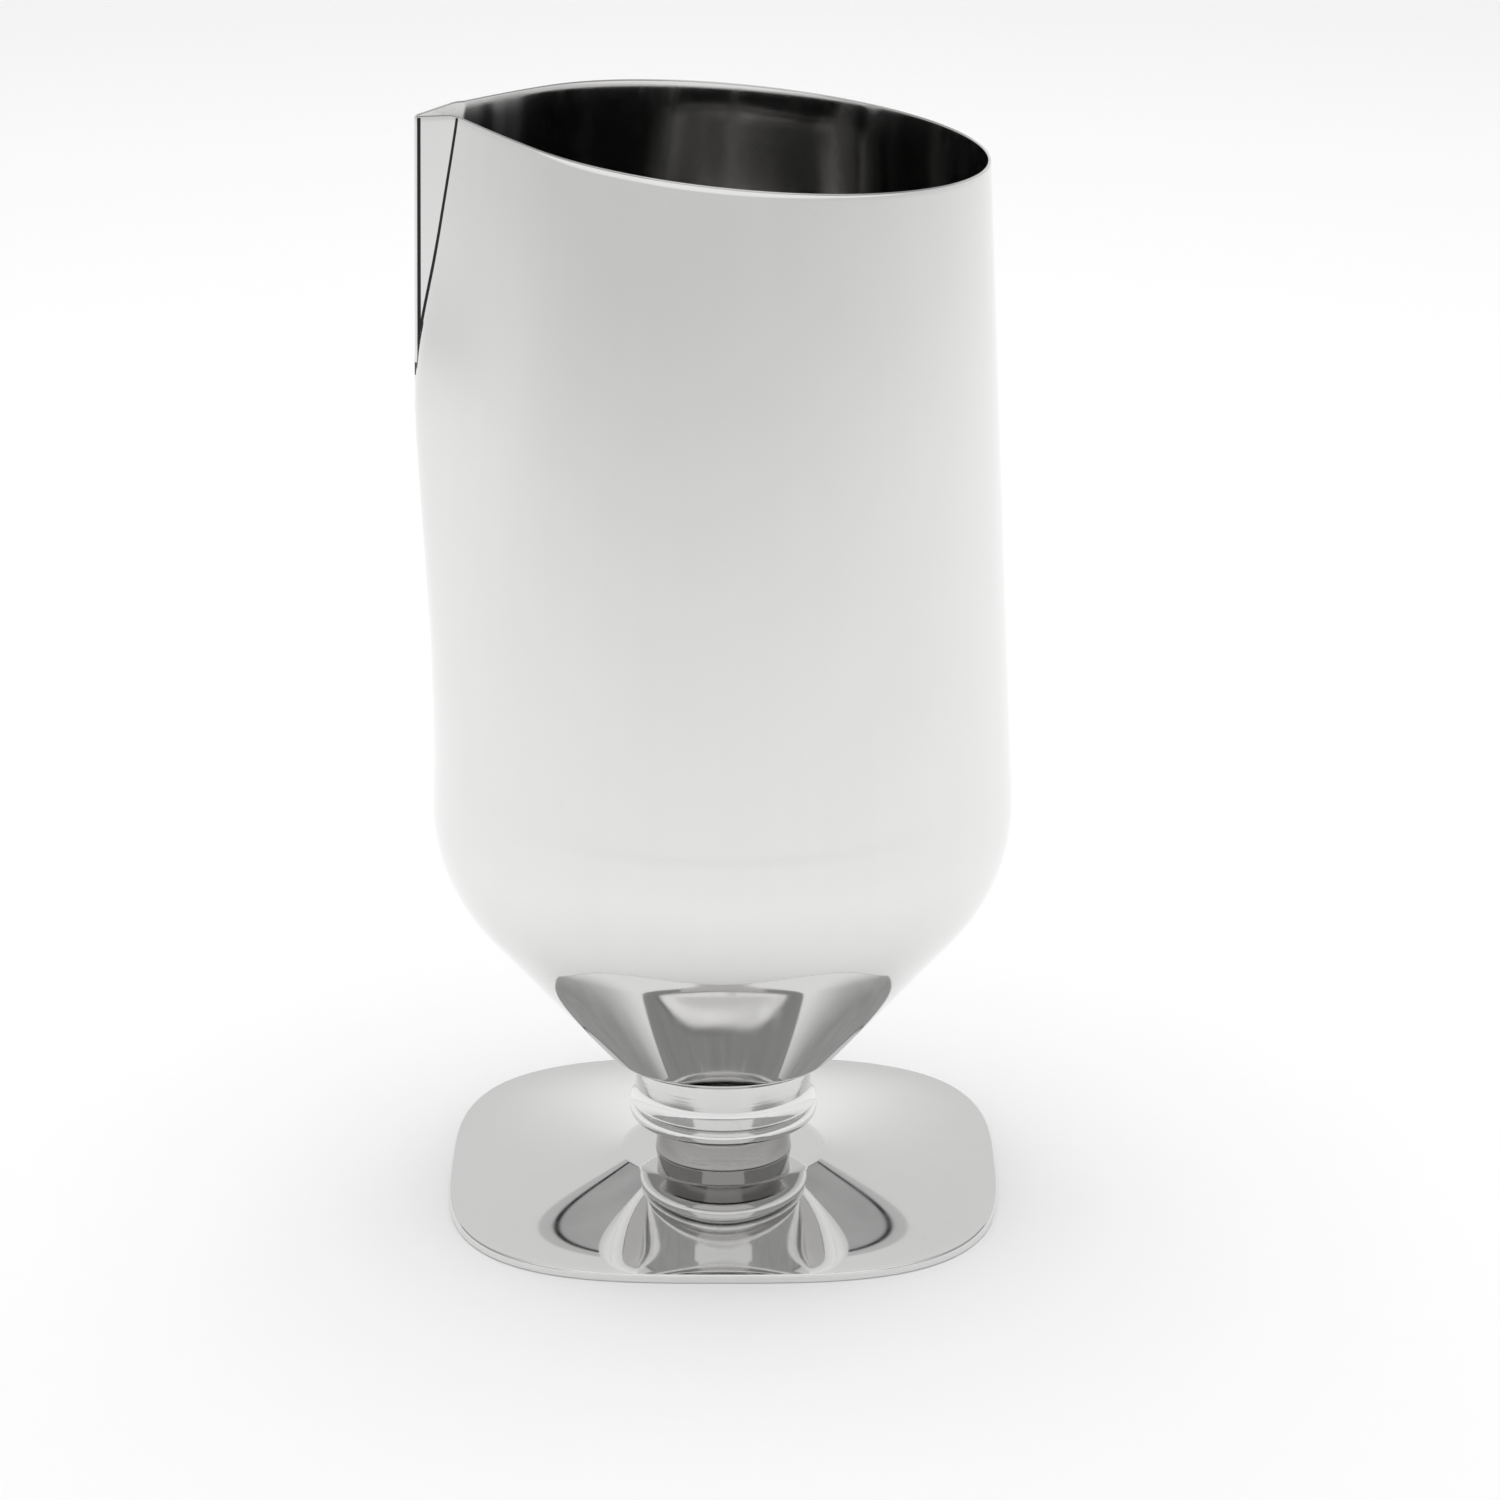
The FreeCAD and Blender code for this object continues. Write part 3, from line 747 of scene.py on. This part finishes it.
def metal(name, base_rough, patchiness, scratches,
          rings=0.0, density=2200.0, bump=0.0, bands=0.0, colour=STEEL):
    """Metal with handling marks, upright wiping bands and, for turned pieces, rings."""
    material = bpy.data.materials.new(name)
    material.use_nodes = True
    tree = material.node_tree
    shader = tree.nodes["Principled BSDF"]
    shader.inputs["Metallic"].default_value = 1.0

    marks = tree.nodes.new("ShaderNodeGroup")
    marks.node_tree = marks_group
    marks.inputs["Base Roughness"].default_value = base_rough
    marks.inputs["Patchiness"].default_value = patchiness
    marks.inputs["Scratches"].default_value = scratches
    rough, height = marks.outputs["Roughness"], marks.outputs["Height"]
    height = calc(tree, "MULTIPLY", height, -0.3)
    if bands > 0.0:
        place = tree.nodes.new("ShaderNodeTexCoord").outputs["Object"]
        upright = noise(tree, place, BAND_SCALE, 2.0, (1.0, 1.0, 0.03))
        band = spread(tree, upright, 0.05, 0.45, 0.0, 1.0)
        rough = calc(tree, "MULTIPLY_ADD", band, bands, rough)
    if rings > 0.0:
        turning = tree.nodes.new("ShaderNodeGroup")
        turning.node_tree = turning_group
        turning.inputs["Ring Density"].default_value = density
        rough = calc(tree, "MULTIPLY_ADD", turning.outputs["Rings"], rings, rough)
        height = calc(tree, "MULTIPLY_ADD", turning.outputs["Rings"], 1.0, height)
    rough = calc(tree, "MAXIMUM", rough, LEAST_ROUGH)
    tree.links.new(rough, shader.inputs["Roughness"])

    tinted = tree.nodes.new("ShaderNodeVectorMath")
    tinted.operation = "SCALE"
    tinted.inputs[0].default_value = colour[:3]
    tree.links.new(marks.outputs["Tint"], tinted.inputs["Scale"])
    tree.links.new(tinted.outputs[0], shader.inputs["Base Color"])
    if bump > 0.0:
        dents = tree.nodes.new("ShaderNodeBump")
        dents.inputs["Strength"].default_value = bump
        dents.inputs["Distance"].default_value = DENT_DEPTH
        tree.links.new(height, dents.inputs["Height"])
        tree.links.new(dents.outputs["Normal"], shader.inputs["Normal"])
    print("finish", name, "roughness", base_rough)
    return material


# %% [markdown]
# The outside of the bowl is buffed to a mirror. The inside can't be reached by a buffing wheel as well,
# so it is a little greyer and its wiping bands are duller, and it has its own material on the inner
# faces. The trimmed rim has a finish of its own too, and the strips beside the spout's creases get a
# near-black material that paints the shade of the creases.

# %% Bowl materials
INNER_STEEL = (0.74, 0.735, 0.73, 1.0)
EDGE_STEEL = (0.62, 0.615, 0.61, 1.0)
# near-black colour that paints the shade along the spout's fold and crease
CREASE_PAINTED_SHADE = (0.03, 0.03, 0.03, 1.0)
bowl_finishes = [
    metal("mirror_outside", 0.035, 0.05, 0.25, bump=0.15, bands=0.06),
    metal("satin_inside", 0.08, 0.06, 0.5, bump=0.2, bands=0.30, colour=INNER_STEEL),
    metal("trimmed_rim", 0.10, 0.05, 0.4, bump=0.2, colour=EDGE_STEEL),
    # painted shade line along the spout's creases
    metal("crease_painted_shade", 0.35, 0.05, 0.2, colour=CREASE_PAINTED_SHADE),
]
for finish in bowl_finishes:
    bowl.data.materials.append(finish)

# %% [markdown]
# The faces are told apart by their place in the grid. The outside rows come first, then the rim, then
# the inside, and at the end the two fans that close the poles, the outer one first. The strips of
# painted crease shade run on a little below the point where the crease opens and end there in one
# small painted dark spot of shade.

# %% Bowl faces by finish
OUTSIDE, INSIDE, RIM, CREASE_SHADE = range(len(bowl_finishes))
FIRST_CREASE = FOLD_COLUMNS + FACET_COLUMNS
POINT_DROP, POINT_HALF = 8.0, 1.2


def painted_crease_shade_faces():
    """True for outside faces that get the painted crease shade: the crease strips and the dark point where
    they meet.
    """
    height = outside[1:-1, :, 2]
    column = np.arange(outside.shape[1])
    side = np.minimum(column, outside.shape[1] - 1 - column)
    strips = (side == FOLD_COLUMNS) | (side == FIRST_CREASE) | (side == FIRST_CREASE + 1)
    tip_z = height[:, 0]
    open_rows = crease_bearing(tip_z, 0.0) > LEAST_GAP + fold_bearing(tip_z, 0.0)
    start_z = tip_z[open_rows].min()
    print("crease starts at", start_z.round(1), "mm")
    point = (side < FOLD_COLUMNS) & (np.abs(height - start_z + POINT_DROP) < POINT_HALF)
    return ((height > start_z - POINT_DROP) & strips[None, :]) | point


bowl_columns = outside.shape[1]
outside_faces = (len(outside) - 2) * bowl_columns
rim_faces = (RIM_ROUND_ROWS + 1) * bowl_columns
finish_number = np.full(len(bowl.data.polygons), INSIDE, np.int32)
finish_number[:outside_faces] = OUTSIDE
finish_number[outside_faces:outside_faces + rim_faces] = RIM
finish_number[-2 * bowl_columns:-bowl_columns] = OUTSIDE
# these faces get the near-black painted crease shade
finish_number[:outside_faces][painted_crease_shade_faces().ravel()] = CREASE_SHADE
bowl.data.polygons.foreach_set("material_index", finish_number)
print("bowl faces by finish:", np.bincount(finish_number))

# %% [markdown]
# The foot is mirror-bright, the collar keeps fine turning rings, and the neck between them is
# bright-turned steel whose colour is darkened to paint the shade that falls between collar and foot. The
# boss, the washers and the screw underneath are plain turned or stamped steel with more wear. These last
# four are
# CAD nodes, so only the material in their slots changes.

# %% Finishes of the other pieces
# steel darkened to paint the shade on the neck between collar and foot
NECK_PAINTED_SHADE_STEEL = (0.40, 0.395, 0.39, 1.0)
SPRING_STEEL = (0.72, 0.71, 0.70, 1.0)
foot.data.materials.append(metal("foot_mirror", 0.02, 0.035, 0.35, bump=0.12))
neck.data.materials.append(
    metal("neck_mirror_painted_shade", 0.06, 0.03, 0.3, rings=0.02, bump=0.15, colour=NECK_PAINTED_SHADE_STEEL))
collar.data.materials.append(
    metal("collar_turned", 0.08, 0.04, 0.4, rings=0.03, density=1700.0, bump=0.2))

hardware_finishes = {
    "mounting_boss": metal("boss_turned", 0.26, 0.08, 0.6, rings=0.12, density=1500.0, bump=0.6),
    "plain_washer": metal("washer_stamped", 0.30, 0.12, 0.8, bump=0.5),
    "lock_washer": metal("spring_steel", 0.28, 0.12, 0.7, bump=0.5, colour=SPRING_STEEL),
    "fixing_screw": metal("screw_steel", 0.24, 0.10, 0.7, rings=0.06, density=1800.0, bump=0.5),
}
for node_name, finish in hardware_finishes.items():
    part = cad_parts[node_name]
    for place in part.material_slots:
        place.material = finish
    print(node_name, "slots:", len(part.material_slots))

# %% [markdown]
# ## Tones of the studio
#
# All tones are linear light, where 1 is white board in full light. They sit together here because they
# are balanced against each other: paper low down and higher up, the glow along its front edge, the hem
# below its back edge, the room above, the ceiling, and the pale panel behind the camera. Each pair
# named FADE, START or SIDE is the two angles, in degrees, between which one tone hands over to the next.

# %% Studio tones
BOARD_WHITE, BOARD_GRAIN = 0.94, 0.004
OVERHEAD_POWER = 8.0
WORLD_STRENGTH = 1.0
PAPER_LOW, PAPER_HIGH = 0.96, 0.72
PAPER_FRONT, PAPER_BACK = 11.3, 29.6
PAPER_FADE = (8.0, 25.0)
GLOW_TONE, GLOW_HEIGHT = 1.35, 1.9
HEM_TONE, ROOM_TONE, CEILING_TONE, PANEL_TONE = 0.52, 0.39, 1.05, 0.76
EDGE_LINE_TONE, FOLD_DEPTH = 0.01, 0.10
CEILING_FADE = (44.0, 66.0)
HEM_START, LINE_RISE, LINE_FADE = (-1.3, -1.1), 0.25, (0.10, 0.40)
FRONT_FADE, PANEL_SIDE, PANEL_START = (90.0, 110.0), (140.0, 142.0), (16.5, 17.0)

# %% [markdown]
# ## Floor
#
# The cup stands on plain white board. The board is large, so that the polished wall has nothing but
# white board to mirror in front of it, and a very faint grain keeps it from looking like empty space.

# %% Floor
FLOOR_SIZE = 9.0
floor_mesh = bpy.data.meshes.new("white_board")
half_floor = FLOOR_SIZE / 2
floor_corners = [(-half_floor, -half_floor, 0), (half_floor, -half_floor, 0),
                 (half_floor, half_floor, 0), (-half_floor, half_floor, 0)]
floor_mesh.from_pydata(floor_corners, [], [(0, 1, 2, 3)])
floor = bpy.data.objects.new("white_board", floor_mesh)
scene.collection.objects.link(floor)

board = bpy.data.materials.new("white_board")
board.use_nodes = True
board_tree = board.node_tree
board_shader = board_tree.nodes["Principled BSDF"]
board_shader.inputs["Roughness"].default_value = 0.75
board_shader.inputs["Specular IOR Level"].default_value = 0.2
board_place = board_tree.nodes.new("ShaderNodeTexCoord").outputs["Object"]
grain = noise(board_tree, board_place, 90.0, 4.0)
paper = calc(board_tree, "MULTIPLY_ADD", grain, BOARD_GRAIN, BOARD_WHITE)
board_tree.links.new(paper, board_shader.inputs["Base Color"])
floor_mesh.materials.append(board)

# %% [markdown]
# ## Soft light
#
# A large square light hangs over the table, a little behind the cup. It is the only lamp, and because it
# is close it lights the board round the cup most and lets it fade gently further forward. That fade is
# what the tall wall mirrors: bright at the bottom, greyer towards the rim. The rest of the light comes
# from the studio all round. The lamp itself isn't mirrored.

# %% Overhead light
def soft_light(name, size, power, location, aim):
    """Square area light at a place, pointed at another place."""
    data = bpy.data.lights.new(name, "AREA")
    data.size = size
    data.energy = power
    lamp = bpy.data.objects.new(name, data)
    scene.collection.objects.link(lamp)
    lamp.location = location
    towards = np.array(aim) - np.array(location)
    level = math.hypot(towards[0], towards[1])
    lamp.rotation_euler = (math.atan2(level, -towards[2]), 0.0, math.atan2(-towards[0], towards[1]))
    print("light", name, power, "W")
    return lamp


OVERHEAD_SIZE, OVERHEAD_BACK, OVERHEAD_HEIGHT = 1.2, 0.25, 1.25
above_table, on_table = (0.0, OVERHEAD_BACK, OVERHEAD_HEIGHT), (0.0, OVERHEAD_BACK, 0.0)
overhead = soft_light("overhead_soft", OVERHEAD_SIZE, OVERHEAD_POWER, above_table, on_table)
overhead.visible_glossy = False

# %% [markdown]
# ## The studio around the table
#
# Everything else that the metal mirrors is far away, so the world colour describes it by direction: a
# pale sweep of paper all round, high at the back and low in front, a thin dark line along its top edge,
# a grey room above it, a ceiling that lightens overhead, and a pale panel behind the camera. Elevation
# is asin(z), and bearing is atan2(x, y) with the back of the studio at 0. The first cell holds the
# helper that lays one tone over another.

# %% Blending tones
def blend_tone(tree, first, second, share):
    """first * (1 - share) + second * share for grey tones."""
    difference = calc(tree, "SUBTRACT", second, first)
    return calc(tree, "MULTIPLY_ADD", difference, share, first)


# %% World by direction
def world_tone(tree):
    """Grey tone of the studio as a socket, from the view direction in the world shader."""
    split = tree.nodes.new("ShaderNodeSeparateXYZ")
    direction = tree.nodes.new("ShaderNodeTexCoord").outputs["Generated"]
    tree.links.new(direction, split.inputs[0])
    x, y, z = split.outputs
    elevation = calc(tree, "MULTIPLY", calc(tree, "ARCSINE", z), 180 / math.pi)
    bearing = calc(tree, "MULTIPLY", calc(tree, "ARCTAN2", x, y), 180 / math.pi)
    aside = calc(tree, "ABSOLUTE", bearing)

    # height of the paper's top edge: high at the back, low in front, by the cosine of the bearing
    turn = calc(tree, "COSINE", calc(tree, "ARCTAN2", x, y))
    middle, swing = (PAPER_BACK + PAPER_FRONT) / 2, (PAPER_BACK - PAPER_FRONT) / 2
    paper_top = calc(tree, "MULTIPLY_ADD", turn, swing, middle)
    over = calc(tree, "SUBTRACT", elevation, paper_top)
    front = spread(tree, aside, *FRONT_FADE, 0.0, 1.0)

    # paper: brightest near the table, a little greyer higher up, and lit along its front edge
    tone = spread(tree, elevation, *PAPER_FADE, PAPER_LOW, PAPER_HIGH)
    hem = calc(tree, "SUBTRACT", spread(tree, over, *HEM_START, 0.0, 1.0), front)
    tone = blend_tone(tree, tone, HEM_TONE, calc(tree, "MAXIMUM", hem, 0.0))
    glow = spread(tree, over, -GLOW_HEIGHT, -GLOW_HEIGHT + 0.4, 0.0, 1.0)
    tone = blend_tone(tree, tone, GLOW_TONE, calc(tree, "MULTIPLY", glow, front))
    # grey room above the paper's edge, with soft folds of cloth
    folds = noise(tree, direction, 9.0, 5.0, (2.2, 2.2, 0.35))
    room = calc(tree, "MULTIPLY_ADD", folds, FOLD_DEPTH, ROOM_TONE)
    tone = blend_tone(tree, tone, room, spread(tree, over, 0.0, 0.3, 0.0, 1.0))
    # thin dark line just above the edge
    edge = calc(tree, "ABSOLUTE", calc(tree, "SUBTRACT", over, LINE_RISE))
    tone = blend_tone(tree, tone, EDGE_LINE_TONE, spread(tree, edge, *LINE_FADE, 1.0, 0.0))
    # pale panel behind the camera
    panel = calc(tree, "MULTIPLY", spread(tree, aside, *PANEL_SIDE, 0.0, 1.0),
                 spread(tree, elevation, *PANEL_START, 0.0, 1.0))
    tone = blend_tone(tree, tone, PANEL_TONE, panel)
    # ceiling, lightest overhead
    return blend_tone(tree, tone, CEILING_TONE, spread(tree, elevation, *CEILING_FADE, 0.0, 1.0))


world = bpy.data.worlds.new("studio")
scene.world = world
world.use_nodes = True
world_tree = world.node_tree
background = world_tree.nodes["Background"]
world_tree.links.new(world_tone(world_tree), background.inputs["Color"])
background.inputs["Strength"].default_value = WORLD_STRENGTH

# %% [markdown]
# ## Camera
#
# The camera looks slightly down at the cup from the side, with a long lens from about three quarters of
# a metre, so the sides stay nearly parallel. The plain Standard view keeps white board white.

# %% Camera
LENS, SENSOR = 122.1, 36.0
CAMERA_PLACE = (0.0042, -0.740, 0.3234)
CAMERA_DIP = 18.9
camera_data = bpy.data.cameras.new("studio_camera")
camera = bpy.data.objects.new("studio_camera", camera_data)
scene.collection.objects.link(camera)
scene.camera = camera
camera_data.sensor_width = SENSOR
camera_data.lens = LENS
camera.location = CAMERA_PLACE
camera.rotation_euler = (math.radians(90 - CAMERA_DIP), 0.0, 0.0)
scene.view_settings.view_transform = "Standard"
print("camera", CAMERA_PLACE, "lens", LENS)
